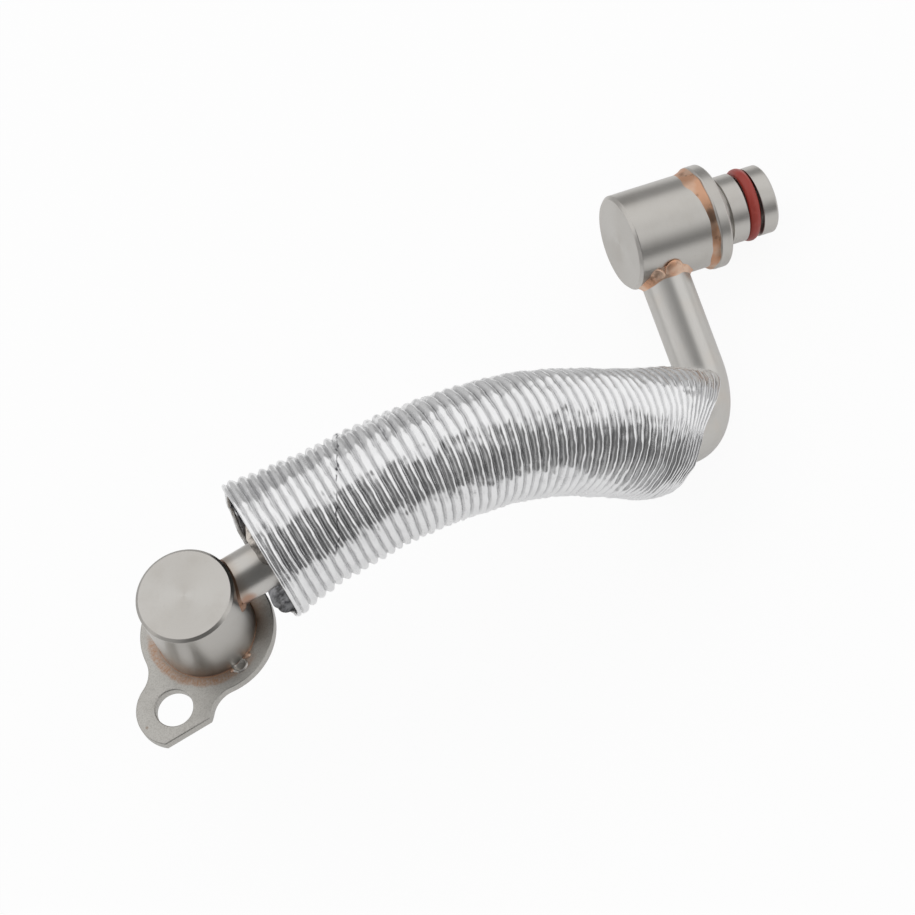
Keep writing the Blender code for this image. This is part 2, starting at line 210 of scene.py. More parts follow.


# Fine rings run round the piece's own axis, and two pale fans cross each flat face: a painted sheen,
# lighter and darker sectors that stand for how turned faces catch the light
def turnedSteel(name, placing):
    finish, nodes, spot = newFinish(name)
    away = placing.inverted()
    x, y, z = nodes.axes(nodes.add("ShaderNodeMapping", {
        "Vector": spot, "Location": away.to_translation(), "Rotation": away.to_euler("XYZ")}).outputs[0])
    radius = nodes.vector("LENGTH", nodes.combined(x, y))
    along = nodes.combined(nodes.plus(radius, z))
    coarse = nodes.grain(along, 0.35 / turnedLook["pitch"], 1.0)
    fine = nodes.grain(along, 2.2 / turnedLook["pitch"], 2.0)
    marks = nodes.timesPlus(coarse, 0.6, nodes.times(fine, 0.4))
    cloud, speck = nodes.grain(spot, 160.0, 4.0), nodes.grain(spot, 2600.0, 2.0)
    # The fans are painted sheen: sine sectors round the axis pull the colour towards the darker tone,
    # fading outwards
    around = nodes.timesPlus(nodes.math("ARCTAN2", y, x), 2.0, turnedLook["fanTurn"])
    fading = nodes.ramp(radius, 0.0, turnedLook["fanReach"], 1.0, 0.35)
    paintedSheen = nodes.times(nodes.math("SINE", around), fading)
    tint = turnedLook["colour"]
    for pattern, low, high, most in ((cloud, 0.52, 0.78, 0.3), (speck, 0.62, 0.74, 0.2),
                                     (fine, 0.35, 0.65, 0.22), (paintedSheen, -1.0, 1.0, 0.36)):
        tint = nodes.mix(nodes.ramp(pattern, low, high, 0.0, most), tint, turnedLook["stainAndSheen"])
    roughness = nodes.timesPlus(marks, 0.22, turnedLook["roughness"] - 0.08)
    shader = paint(nodes, tint, roughness, nodes.bump(marks, 0.35, 0.01 * mm))
    axis = placing.to_3x3() @ Vector((0, 0, 1))
    outward = nodes.vector("SUBTRACT", spot, tuple(placing.to_translation()))
    tangent = nodes.vector("NORMALIZE", nodes.vector("CROSS_PRODUCT", tuple(axis), outward))
    nodes.plug(shader.inputs["Tangent"], tangent)
    shader.inputs["Anisotropic"].default_value = turnedLook["anisotropy"]
    shader.inputs["Anisotropic Rotation"].default_value = 0.25
    return finish


blastedLook = {
    "colour": (0.535, 0.52, 0.49),
    "dark": (0.34, 0.325, 0.30),
    "copper": (0.44, 0.27, 0.18),
    "brown": (0.28, 0.19, 0.135),
    "roughness": 0.46,
    "bandMiddle": (11.15 * mm, 10.85 * mm),
    "bandHalf": (0.45 * mm, 1.25 * mm),
    "bandStart": (150.0, 163.0),
    "bandEnd": (286.0, 304.0),
    "foot": (9.9 * mm, 10.9 * mm),
    "underTubeReach": (10.2 * mm, 12.8 * mm),
    "dot": (-19.47 * mm, -11.51 * mm, 2.3 * mm),
}


# The heat tint is a streaky copper band round the barrel. There is brown at the barrel's foot, and under
# the tube the brown is heat tint with painted shade
def blastedSteel():
    finish, nodes, spot = newFinish("blastedSteel")
    grit, cloud = nodes.grain(spot, 3600.0, 2.0, 0.6), nodes.grain(spot, 260.0, 4.0)
    tint = nodes.mix(nodes.ramp(grit, 0.45, 0.75, 0.0, 0.55), blastedLook["colour"], blastedLook["dark"])
    tint = nodes.mix(nodes.ramp(cloud, 0.5, 0.8, 0.0, 0.3), tint, blastedLook["dark"])
    x, y, z = nodes.axes(spot)
    flat = nodes.combined(x, y)
    around = nodes.math("DEGREES", nodes.math("ARCTAN2", y, x))
    around = nodes.math("MODULO", nodes.plus(around, 360.0), 360.0)
    ragged = nodes.timesPlus(nodes.grain(spot, 420.0, 4.0, 0.7), 1.7 * mm, nodes.vector("LENGTH", flat))
    ragged = nodes.minus(ragged, 0.85 * mm)
    middle = nodes.ramp(around, 180.0, 250.0, *blastedLook["bandMiddle"])
    away = nodes.math("ABSOLUTE", nodes.minus(ragged, middle))
    band = nodes.soft(away, *blastedLook["bandHalf"], 1.0, 0.0)
    band = nodes.times(band, nodes.ramp(around, *blastedLook["bandStart"]))
    band = nodes.times(band, nodes.ramp(around, *blastedLook["bandEnd"], 1.0, 0.0))
    flecks = nodes.ramp(nodes.grain(spot, 1700.0, 3.0, 0.7), 0.38, 0.55)
    streaks = nodes.grain(nodes.vector("NORMALIZE", flat), 34.0, 2.0)
    flecks = nodes.times(flecks, nodes.ramp(streaks, 0.35, 0.6, 0.25, 1.0))
    band = nodes.times(band, nodes.timesPlus(flecks, 0.55, 0.4))
    foot = nodes.soft(ragged, *blastedLook["foot"], 0.6, 0.0)
    # Under the tube the plate is browned further: heat tint with painted shade where the tube shades the
    # plate
    tubeSide = nodes.ramp(nodes.math("ABSOLUTE", nodes.minus(around, 180.0)), 125.0, 160.0)
    tintAndShadeUnderTube = nodes.times(tubeSide, nodes.ramp(ragged, *blastedLook["underTubeReach"], 0.9, 0.0))
    dot = nodes.ramp(nodes.distance(spot, blastedLook["dot"]), 0.15 * mm, 0.42 * mm, 0.6, 0.0)
    brown = nodes.math("MAXIMUM", nodes.math("MAXIMUM", foot, tintAndShadeUnderTube), dot)
    onTop = nodes.ramp(z, 1.6 * mm, 2.2 * mm)
    tint = nodes.mix(nodes.times(brown, onTop), tint, blastedLook["brown"])
    tint = nodes.mix(nodes.times(band, onTop), tint, blastedLook["copper"])
    roughness = nodes.timesPlus(grit, 0.2, blastedLook["roughness"] - 0.1)
    paint(nodes, tint, roughness, nodes.bump(grit, 0.5, 0.02 * mm))
    return finish


drawnLook = {
    "colour": (0.60, 0.585, 0.56),
    "dark": (0.46, 0.44, 0.41),
    "warm": (0.62, 0.55, 0.48),
    "burnt": (0.36, 0.27, 0.20),
    "burntEnd": (10.9 * mm, 13.9 * mm),
    "blush": (0.40, 0.215, 0.14),
    "blushSpot": (10.2 * mm, -4.9 * mm, 14.2 * mm),
    "blushReach": (1.5 * mm, 3.0 * mm),
    "roughness": 0.30,
}


# Streaks run along the tube, which is burnt brown by the lower braze
def drawnSteel():
    finish, nodes, spot = newFinish("drawnSteel")
    unrolled = nodes.add("ShaderNodeUVMap", uv_map="tubeLength").outputs[0]
    streaks = nodes.grain(nodes.vector("MULTIPLY", unrolled, (1.0, 26.0, 1.0)), 30.0, 4.0)
    cloud = nodes.grain(spot, 140.0, 4.0)
    tint = nodes.mix(nodes.ramp(streaks, 0.45, 0.75, 0.0, 0.5), drawnLook["colour"], drawnLook["dark"])
    tint = nodes.mix(nodes.ramp(cloud, 0.5, 0.8, 0.0, 0.5), tint, drawnLook["warm"])
    along = nodes.timesPlus(cloud, 3.0 * mm, nodes.axes(spot)[0])
    tint = nodes.mix(nodes.soft(along, *drawnLook["burntEnd"], 0.62, 0.0), tint, drawnLook["burnt"])
    off = nodes.timesPlus(cloud, 1.2 * mm, nodes.distance(spot, drawnLook["blushSpot"]))
    tint = nodes.mix(nodes.soft(off, *drawnLook["blushReach"], 0.75, 0.0), tint, drawnLook["blush"])
    roughness = nodes.timesPlus(streaks, 0.2, drawnLook["roughness"] - 0.08)
    paint(nodes, tint, roughness, nodes.bump(nodes.grain(spot, 1500.0, 2.0), 0.25, 0.015 * mm))
    return finish


brazeLook = {
    "copper": (0.74, 0.43, 0.28),
    "pale": (0.78, 0.57, 0.44),
    "burnt": (0.23, 0.135, 0.09),
    "roughness": 0.43,
    "scorchReach": (0.9 * mm, 1.9 * mm),
}


# Age is the share of burnt colour, and a scorch is a dark spot round a point
def copperBraze(name, age, scorch=None):
    finish, nodes, spot = newFinish(name)
    cloud, spots = nodes.grain(spot, 260.0, 2.0), nodes.grain(spot, 380.0, 3.0, 0.6)
    tint = nodes.mix(nodes.ramp(cloud, 0.42, 0.62), brazeLook["copper"], brazeLook["pale"])
    tint = nodes.mix(nodes.ramp(spots, 0.58, 0.72, age, max(age, 0.8)), tint, brazeLook["burnt"])
    if scorch:
        near = nodes.soft(nodes.distance(spot, tuple(scorch)), *brazeLook["scorchReach"], 0.8, 0.0)
        tint = nodes.mix(near, tint, brazeLook["burnt"])
    roughness = nodes.timesPlus(spots, 0.3, brazeLook["roughness"] - 0.12)
    paint(nodes, tint, roughness, nodes.bump(cloud, 0.4, 0.08 * mm))
    return finish


rubberLook = {
    "colour": (0.34, 0.038, 0.026),
    "dusty": (0.44, 0.085, 0.06),
    "roughness": 0.38,
}


def redRubber():
    finish, nodes, spot = newFinish("redRubber")
    cloud = nodes.grain(spot, 500.0, 3.0)
    tint = nodes.mix(nodes.ramp(cloud, 0.5, 0.75, 0.0, 0.6), rubberLook["colour"], rubberLook["dusty"])
    middle = rubberLook["roughness"]
    roughness = nodes.ramp(cloud, 0.3, 0.7, middle - 0.08, middle + 0.12)
    paint(nodes, tint, roughness, nodes.bump(nodes.grain(spot, 3000.0, 2.0), 0.2, 0.01 * mm), 0.0)
    return finish


foilLook = {
    "colour": (0.87, 0.87, 0.875),
    "dull": (0.74, 0.74, 0.75),
    "shade": (0.10, 0.10, 0.11),
    "roughness": 0.20,
    "grooveStart": 0.24,
    "grooveShade": 0.66,
    "seamWay": (0.859, -0.466, -0.212),
    "seamPlace": 25.1 * mm,
    "seamHalf": (0.07 * mm, 0.20 * mm),
}
liftWay = (0.0, 0.894, 0.448)  # the way that the sleeve's upper side faces


# The grooves between the ribs are darkened as painted shade, and a broken zigzag seam line crosses the
# upper side
def crinkledFoil():
    finish, nodes, spot = newFinish("crinkledFoil")
    folds, cloud = nodes.grain(spot, 420.0, 2.0, 0.5), nodes.grain(spot, 150.0, 3.0)
    tint = nodes.mix(nodes.ramp(cloud, 0.45, 0.8, 0.0, 0.6), foilLook["colour"], foilLook["dull"])
    zigzag = nodes.timesPlus(nodes.grain(spot, 330.0, 1.0), 2.2 * mm, -1.1 * mm)
    off = nodes.plus(nodes.vector("DOT_PRODUCT", spot, foilLook["seamWay"]), zigzag)
    off = nodes.math("ABSOLUTE", nodes.minus(off, foilLook["seamPlace"]))
    seam = nodes.ramp(off, *foilLook["seamHalf"], 0.9, 0.0)
    broken = nodes.ramp(nodes.grain(spot, 900.0, 1.0), 0.42, 0.5)
    upper = nodes.ramp(nodes.vector("DOT_PRODUCT", spot, liftWay), 0.0, 2.0 * mm)
    high = nodes.ramp(nodes.axes(spot)[2], 15.0 * mm, 17.0 * mm)
    seam = nodes.times(nodes.times(seam, broken), nodes.times(upper, high))
    # Painted shade: the groove share that the sleeve's nodes store pulls the colour towards the shade
    # colour between the ribs
    groove = nodes.add("ShaderNodeAttribute", attribute_name="groove").outputs["Fac"]
    groove = nodes.ramp(groove, foilLook["grooveStart"], 0.9, 0.0, foilLook["grooveShade"])
    tint = nodes.mix(seam, nodes.mix(groove, tint, foilLook["shade"]), foilLook["shade"])
    roughness = nodes.ramp(folds, 0.3, 0.7, foilLook["roughness"] - 0.05, foilLook["roughness"] + 0.1)
    paint(nodes, tint, roughness, nodes.bump(folds, 0.4, 0.12 * mm))
    return finish


# The lining's dark colour is painted shade for the shadowed inside of the mouth, and the pale colour is
# the lip's own
liningLook = {"colour": (0.30, 0.30, 0.31), "pale": (0.62, 0.57, 0.52), "roughness": 0.32}


def liningFoil(name, colour):
    finish, nodes, spot = newFinish(name)
    creases = nodes.grain(spot, 650.0, 3.0, 0.6)
    # The creases are darkened to 0.3 of the colour as painted shade
    dark = tuple(channel * 0.3 for channel in colour)
    tint = nodes.mix(nodes.ramp(creases, 0.4, 0.65), colour, dark)
    paint(nodes, tint, liningLook["roughness"], nodes.bump(creases, 0.6, 0.25 * mm))
    return finish


# Mesh helpers

def newObject(name, data):
    made = bpy.data.objects.new(name, data)
    bpy.context.scene.collection.objects.link(made)
    return made


def finishObject(name, work, material, crease=35):
    bmesh.ops.remove_doubles(work, verts=work.verts, dist=0.002 * mm)
    bmesh.ops.recalc_face_normals(work, faces=work.faces)
    mesh = bpy.data.meshes.new(name)
    work.to_mesh(mesh)
    work.free()
    mesh.shade_smooth()
    mesh.set_sharp_from_angle(angle=radians(crease))
    mesh.materials.append(material)
    return newObject(name, mesh)


# A closed profile with small arcs at its corners, except on the axis
def rounded(profile, radius=edgeRounding):
    points = []
    count = len(profile)
    for k, corner in enumerate(profile):
        corner = Vector(corner)
        before = Vector(profile[k - 1]) - corner
        after = Vector(profile[(k + 1) % count]) - corner
        if corner.x == 0 or abs(before.angle(after) - pi) < 0.05:
            points.append(tuple(corner))
            continue
        reach = min(radius, before.length * 0.4, after.length * 0.4)
        start, end = corner + before.normalized() * reach, corner + after.normalized() * reach
        points.append(tuple(corner + before.normalized() * reach * 1.6))
        for step in range(4):
            share = step / 3
            middle = corner * 2 * share * (1 - share)
            points.append(tuple(start * (1 - share) ** 2 + middle + end * share**2))
        points.append(tuple(corner + after.normalized() * reach * 1.6))
    return points


# Spins a closed profile of (radius, height) round the placing's z axis
def lathe(name, profile, material, placing=Matrix.Identity(4), sides=barrel["sides"], wobble=None):
    work = bmesh.new()
    rings = []
    for radius, height in profile:
        if radius == 0:
            rings.append([work.verts.new(placing @ Vector((0, 0, height)))])
            continue
        ring = []
        for k in range(sides):
            turn = 2 * pi * k / sides
            point = Vector((radius * cos(turn), radius * sin(turn), height))
            if wobble:
                point = wobble(point, turn)
            ring.append(work.verts.new(placing @ point))
        rings.append(ring)
    for one, two in zip(rings, rings[1:] + rings[:1]):
        if len(one) == 1 and len(two) == 1:
            continue
        for k in range(sides):
            corners = [one[k % len(one)], one[(k + 1) % len(one)]]
            corners += [two[(k + 1) % len(two)], two[k % len(two)]]
            work.faces.new(list(dict.fromkeys(corners)))
    return finishObject(name, work, material)


# Cuts a round hole through the piece from one point to another
def bored(piece, start, end, radius, sides=96):
    way = end - start
    placing = Matrix.Translation(start) @ way.to_track_quat("Z", "Y").to_matrix().to_4x4()
    profile = [(0, 0), (radius, 0), (radius, way.length), (0, way.length)]
    drill = lathe("drill", profile, piece.data.materials[0], placing, sides)
    hole = piece.modifiers.new("hole", "BOOLEAN")
    hole.operation, hole.solver, hole.object = "DIFFERENCE", "EXACT", drill
    evaluated = piece.evaluated_get(bpy.context.evaluated_depsgraph_get())
    solid = bpy.data.meshes.new_from_object(evaluated)
    piece.modifiers.clear()
    piece.data = solid
    bpy.data.objects.remove(drill)
    solid.shade_smooth()
    solid.set_sharp_from_angle(angle=radians(35))


# The route of the tube, as points with their directions

def routeLegs(corners, radii):
    legs, at = [], corners[0]
    for before, corner, after, radius in zip(corners, corners[1:], corners[2:], radii):
        wayIn, wayOut = (corner - before).normalized(), (after - corner).normalized()
        turn = wayIn.angle(wayOut)
        touch = corner - wayIn * radius * tan(turn / 2)
        legs.append((at, wayIn, (touch - at).length, None, 0))
        inward = (wayOut - wayIn * wayOut.dot(wayIn)).normalized()
        legs.append((touch, wayIn, radius * turn, inward, radius))
        at = corner + wayOut * radius * tan(turn / 2)
    last = (corners[-1] - corners[-2]).normalized()
    legs.append((at, last, (corners[-1] - at).length, None, 0))
    return legs


def walk(legs, distance):
    for leg in legs:
        if distance <= leg[2] or leg is legs[-1]:
            break
        distance -= leg[2]
    start, way, _, inward, radius = leg
    if not radius:
        return start + way * distance, way
    turn = distance / radius
    return (start + way * radius * sin(turn) + inward * radius * (1 - cos(turn)),
            way * cos(turn) + inward * sin(turn))


startPoint = Vector((0, 0, tube["height"]))
firstCorner = startPoint + Vector((tube["firstRun"], 0, 0))
secondCorner = firstCorner + heading(*tube["middleWay"]) * tube["middleRun"]
lastWay = heading(*tube["lastWay"])
spigotPoint = secondCorner + lastWay * tube["lastRun"]
sleeveCorners = [startPoint, firstCorner, secondCorner]
tubeLegs = routeLegs(sleeveCorners + [spigotPoint], [tube["firstBend"], tube["secondBend"]])
sleeveLegs = routeLegs(sleeveCorners, [tube["firstBend"]])
tubeLength = sum(leg[2] for leg in tubeLegs)
tightBendStart = sum(leg[2] for leg in sleeveLegs) - tube["secondBend"] * tan(
    heading(*tube["middleWay"]).angle(lastWay) / 2)

level = Vector((sin(tube["lastWay"][0]), -cos(tube["lastWay"][0]), 0))
spigotAxis = level * cos(barrel["spigotTurn"]) + lastWay.cross(level) * sin(barrel["spigotTurn"])
spigotFrame = Matrix((-lastWay, spigotAxis.cross(-lastWay), spigotAxis)).transposed().to_4x4()
spigotFrame = Matrix.Translation(spigotPoint - spigotAxis * barrel["spigotInset"]) @ spigotFrame
flangeFrame = Matrix.Identity(4)

barrelRadius = barrel["outer"] / 2
barrelBore = barrelRadius - barrel["wall"]
plugRadius = plug["outer"] / 2
grooveRadius = plugRadius - plug["grooveDepth"]
tubeRadius = tube["outer"] / 2


def place(piece, node):
    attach(piece, "root")
    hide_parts(node)


# Flange plate

plate = {
    "thickness": 2.3 * mm,
    "radius": 13.4 * mm,
    "boltHole": 7.5 * mm,
    "boltDistance": 16.9 * mm,
    "boltAngle": radians(219.7),
    "lobe": 7.65 * mm,
    "fillet": 5.8 * mm,
    "flat": 5.85 * mm,
    "flatWay": radians(270.0),
    "edge": 0.28 * mm,
    "arcStep": radians(2.5),
    "portGap": 0.3 * mm,
    "holeSides": 120,
}


def onCircle(centre, radius, turn):
    return centre + Vector((cos(turn), sin(turn))) * radius


def arc(centre, radius, start, end):
    steps = max(2, round(abs(end - start) / plate["arcStep"]))
    return [onCircle(centre, radius, start + (end - start) * k / steps) for k in range(steps + 1)]


def plateOutline():
    big, small = plate["radius"] + plate["fillet"], plate["lobe"] + plate["fillet"]
    distance, angle = plate["boltDistance"], plate["boltAngle"]
    along = (big**2 - small**2 + distance**2) / (2 * distance)
    aside = sqrt(big**2 - along**2)
    portTurn, boltTurn = atan2(aside, along), atan2(aside, along - distance)
    port = Vector((0, 0))
    bolt = onCircle(port, distance, angle)
    left, right = onCircle(port, big, angle - portTurn), onCircle(port, big, angle + portTurn)
    halfFlat = acos(plate["flat"] / plate["lobe"])
    outline = arc(port, plate["radius"], angle + portTurn, angle - portTurn + 2 * pi)
    outline += arc(left, plate["fillet"], angle - portTurn + pi, angle - boltTurn + pi)[1:]
    outline += arc(bolt, plate["lobe"], angle - boltTurn, plate["flatWay"] - halfFlat)[1:]
    outline += arc(bolt, plate["lobe"], plate["flatWay"] + halfFlat, angle + boltTurn)
    outline += arc(right, plate["fillet"], angle + boltTurn - pi, angle + portTurn - pi)[1:-1]
    return outline


def addLoop(curve, points):
    spline = curve.splines.new("POLY")
    spline.points.add(len(points) - 1)
    for spot, point in zip(spline.points, points):
        spot.co = (point.x, point.y, 0, 1)
    spline.use_cyclic_u = True


def flangePlate(material):
    curve = bpy.data.curves.new("flangePlate", "CURVE")
    curve.dimensions = "2D"
    curve.fill_mode = "BOTH"
    edge = plate["edge"]
    curve.extrude = plate["thickness"] / 2 - edge
    curve.bevel_depth = edge
    curve.bevel_resolution = 3
    curve.offset = -edge
    port, sides = Vector((0, 0)), plate["holeSides"]
    bolt = onCircle(port, plate["boltDistance"], plate["boltAngle"])
    addLoop(curve, plateOutline())
    for centre, radius in ((bolt, plate["boltHole"] / 2), (port, plugRadius + plate["portGap"])):
        addLoop(curve, [onCircle(centre, radius, -2 * pi * k / sides) for k in range(sides)])
    shape = newObject("flangeShape", curve)
    evaluated = shape.evaluated_get(bpy.context.evaluated_depsgraph_get())
    work = bmesh.new()
    work.from_mesh(bpy.data.meshes.new_from_object(evaluated))
    bpy.data.objects.remove(shape)
    bmesh.ops.translate(work, verts=work.verts, vec=(0, 0, plate["thickness"] / 2))
    made = finishObject("flangePlate", work, material)
    place(made, "flange_plate")


# Barrels

nozzle = {"length": 8.5 * mm, "land": 2.8 * mm, "groove": 2.95 * mm, "floor": 2.0 * mm}
spigot = {
    "stub": 3.0 * mm,
    "gap": 0.3 * mm,
    "collarOuter": 21.2 * mm,
    "collarThickness": 2.9 * mm,
    "collarChamfer": 0.4 * mm,
    "undercutWidth": 1.95 * mm,
    "undercutDepth": 0.7 * mm,
    "innerLand": 5.45 * mm,
    "groove": 3.25 * mm,
    "outerLand": 3.3 * mm,
}


def grooved(start, width):
    end = start + width
    return [(plugRadius, start), (grooveRadius, start), (grooveRadius, end), (plugRadius, end)]


def tubeHole(piece, crossing, way):
    start, end = barrelBore - 1.2 * mm, barrelRadius + mm
    bored(piece, crossing + way * start, crossing + way * end, tubeRadius + 0.05 * mm)


def flangeBarrel(material):
    bore, top, chamfer = plug["bore"] / 2, barrel["flangeTop"], barrel["chamfer"]
    shoulder = plate["thickness"] + 0.02 * mm
    roof = top - barrel["cap"]
    profile = [(bore, -nozzle["length"]), (plugRadius - plug["chamfer"], -nozzle["length"])]
    profile += [(plugRadius, plug["chamfer"] - nozzle["length"])]
    profile += grooved(nozzle["land"] - nozzle["length"], nozzle["groove"])
    profile += [(plugRadius, shoulder), (barrelRadius, shoulder), (barrelRadius, top - chamfer)]
    profile += [(barrelRadius - chamfer, top), (0, top), (0, roof), (barrelBore, roof)]
    profile += [(barrelBore, shoulder + nozzle["floor"]), (bore, shoulder + nozzle["floor"])]
    made = lathe("flangeBarrel", rounded(profile), material)
    tubeHole(made, startPoint, Vector((1, 0, 0)))
    place(made, "flange_barrel")


def spigotBarrel(material):
    length, chamfer = barrel["spigotLength"], barrel["chamfer"]
    profile = [(0, 0), (barrelRadius - chamfer, 0), (barrelRadius, chamfer)]
    profile += [(barrelRadius, length), (barrelBore, length)]
    profile += [(barrelBore, barrel["cap"]), (0, barrel["cap"])]
    made = lathe("spigotBarrel", rounded(profile), material, spigotFrame)
    tubeHole(made, spigotPoint, -lastWay)
    place(made, "spigot_barrel")


collarBack = barrel["spigotLength"] + spigot["gap"]
collarFront = collarBack + spigot["collarThickness"]
grooveStart = collarFront + spigot["innerLand"]


def spigotNose(material):
    bore, stub, rim = plug["bore"] / 2, barrelBore - spigot["gap"], spigot["collarOuter"] / 2
    chamfer, back = spigot["collarChamfer"], barrel["spigotLength"] - spigot["stub"]
    neck = plugRadius - spigot["undercutDepth"]
    tip = grooveStart + spigot["groove"] + spigot["outerLand"]
    profile = [(bore, back), (stub, back), (stub, collarBack), (rim - chamfer, collarBack)]
    profile += [(rim, collarBack + chamfer), (rim, collarFront - chamfer), (rim - chamfer, collarFront)]
    profile += [(neck, collarFront), (neck, collarFront + spigot["undercutWidth"])]
    profile += [(plugRadius, collarFront + spigot["undercutWidth"])]
    profile += grooved(grooveStart, spigot["groove"])
    profile += [(plugRadius, tip - plug["chamfer"]), (plugRadius - plug["chamfer"], tip), (bore, tip)]
    made = lathe("spigotNose", rounded(profile), material, spigotFrame)
    place(made, "spigot_nose")


def sealRing(name, node, height, material, placing, tilt=0.0):
    section, width = plug["ringSection"] / 2, plug["ringWidth"] / 2
    middle = grooveRadius + 0.3 * mm + section
    turns = [2 * pi * k / 28 for k in range(28)]
    profile = [(middle + section * cos(turn), height + width * sin(turn)) for turn in turns]
    def seated(point, turn):
        return point + Vector((0, 0, tilt * cos(turn - pi)))
    made = lathe(name, profile, material, placing, 120, seated)
    place(made, node)


# Braze

braze = {
    "spread": 0.9 * mm,
    "waist": 0.3,
    "lumps": 0.16 * mm,
    "lumpSize": 2.4 * mm,
    "flange": {"out": 0.42 * mm, "up": 0.28 * mm, "pools": ()},
    "collar": {"out": 0.85 * mm, "up": -1.75 * mm, "pools": ((222, 34, 1.5), (330, 30, 0.2))},
    "lower": {
        "lift": 0.5 * mm,
        "pools": ((-105, 26, 0.75), (60, 30, 0.6)),
        "drops": ((-112, 0.55, 0.6, 0.35), (-88, 0.4, 0.5, 0.3)),
    },
    "upper": {
        "lift": 0.95 * mm,
        "pools": ((98, 36, 1.1), (45, 34, 0.8)),
        "drops": ((97, 2.1, 2.15, 0.72), (57, 1.5, 1.8, 0.6)),
    },
}


# How much further the braze has run at a turn: each pool is (degrees, width, share more)
def pooled(turn, pools):
    more = 0.0
    for middle, width, share in pools:
        away = (turn * 180 / pi - middle + 180) % 360 - 180
        more += share * exp(-(away / width) ** 2)
    return 1 + more


def lumpy(point, size=1.0):
    shift = noise.noise_vector(point / braze["lumpSize"]) * braze["lumps"] * size
    return point + shift


# A rounded drop: a ball stretched along three directions
def blob(work, middle, ways, reach):
    ball = bmesh.ops.create_uvsphere(work, u_segments=40, v_segments=24, radius=1.0)["verts"]
    for spot in ball:
        shift = sum((way * size * along for way, size, along in zip(ways, reach, spot.co)), Vector())
        spot.co = lumpy(middle + shift, 0.4)


def ringFillet(name, node, base, size, material, placing, sides=192):
    out, up = size["out"], size["up"]
    inner = barrelRadius - 0.15 * mm
    back = -0.1 * mm if up > 0 else 0.1 * mm
    profile = [(inner, base + back)]
    for step in range(9):
        share = step / 8
        bend = braze["waist"] * 2 * share * (1 - share)
        profile.append((inner + out * ((1 - share) ** 2 + bend), base + up * (share**2 + bend)))
    def uneven(point, turn):
        swell = 1 + 0.5 * noise.noise(Vector((cos(turn), sin(turn), base * 90)) * 2.4)
        flat = Vector((point.x, point.y, 0))
        extra = max(0.0, flat.length - inner) * (swell - 1)
        if (point.z - base) * up > 0:
            point.z = base + (point.z - base) * pooled(turn, size["pools"])
        return lumpy(point + flat.normalized() * extra, 0.35)
    made = lathe(name, profile, material, placing, sides, uneven)
    place(made, node)


def tubeFillet(name, node, crossing, way, closedWay, closedEnd, size, material):
    beside = closedWay.cross(way)
    work = bmesh.new()
    sides, steps, loops = 96, 8, []
    hole = tubeRadius - 0.1 * mm
    for k in range(sides):
        turn = 2 * pi * k / sides
        radial = closedWay * cos(turn) + beside * sin(turn)
        wave = noise.noise(Vector((cos(turn), sin(turn), crossing.x)) * 2.1)
        spread = braze["spread"] * (1 + 0.35 * wave)
        swell = pooled(turn, size["pools"])
        rise = size["lift"] * swell
        waist = min(0.75, braze["waist"] + 0.16 * (swell - 1))
        if cos(turn) > 0:
            spread = min(spread, closedEnd / cos(turn) - hole)
        def onWall(radius, lift):
            reach = sqrt(barrelRadius**2 - (radius * sin(turn)) ** 2) + lift
            return crossing + radial * radius + way * reach
        ring = [onWall(hole, -0.3 * mm), onWall(hole + spread, -0.12 * mm)]
        for step in range(steps + 1):
            share = step / steps
            bend = waist * 2 * share * (1 - share)
            ring.append(onWall(hole + spread * ((1 - share) ** 2 + bend), rise * (share**2 + bend)))
        loops.append([work.verts.new(lumpy(point, 0.5)) for point in ring])
    for one, two in zip(loops, loops[1:] + loops[:1]):
        for k in range(len(one)):
            after = (k + 1) % len(one)
            work.faces.new((one[k], one[after], two[after], two[k]))
    for degrees, wide, tall, thick in size["drops"]:
        turn = radians(degrees)
        radial = closedWay * cos(turn) + beside * sin(turn)
        reach = sqrt(barrelRadius**2 - (tubeRadius * sin(turn)) ** 2)
        corner = crossing + radial * (tubeRadius + 0.1 * mm) + way * (reach + 0.25 * tall * mm)
        blob(work, corner, (radial.cross(way), (way - radial).normalized(), (way + radial).normalized()),
             (wide * mm, tall * mm, thick * mm))
    made = finishObject(name, work, material, 60)
    place(made, node)


# A spot weld beside the barrel's foot: a raised ring with a hollow, and a copper fleck beside it

tack = {
    "at": (2.1 * mm, -10.2 * mm),
    "long": 1.65 * mm,
    "short": 1.35 * mm,
    "rise": 0.22 * mm,
    "profile": ((0, -0.6), (1.0, -0.6), (1.02, 0.1), (0.94, 0.7), (0.80, 1.0),
                (0.66, 0.8), (0.56, 0.35), (0.3, 0.2), (0, 0.18)),
    "fleck": (4.31 * mm, -9.15 * mm),
    "fleckSize": 0.75 * mm,
}


def tackSpot(metal, copper):
    top, (x, y) = plate["thickness"], tack["at"]
    outward = Vector((x, y, 0)).normalized()
    along = Vector((-outward.y, outward.x, 0))
    weldFrame = Matrix((along * tack["long"], outward * tack["short"], Vector((0, 0, tack["rise"]))))
    weldFrame = Matrix.Translation(Vector((x, y, top))) @ weldFrame.transposed().to_4x4()
    def uneven(point, turn):
        return point * (1 + 0.10 * noise.noise(Vector((cos(turn), sin(turn), 0.4)) * 1.7))
    weld = lathe("tackWeld", tack["profile"], metal, weldFrame, 64, uneven)
    place(weld, "flange_plate")
    work = bmesh.new()
    ways = (along, outward, Vector((0, 0, 1)))
    reach = tack["fleckSize"]
    blob(work, Vector((*tack["fleck"], top)), ways, (reach, reach * 0.8, reach * 0.45))
    beside = Vector((x - 1.7 * mm, y - 0.1 * mm, top))
    blob(work, beside, ways, (reach * 0.6, reach * 0.5, reach * 0.3))
    place(finishObject("brazeFlecks", work, copper, 60), "flange_braze")


# Tube

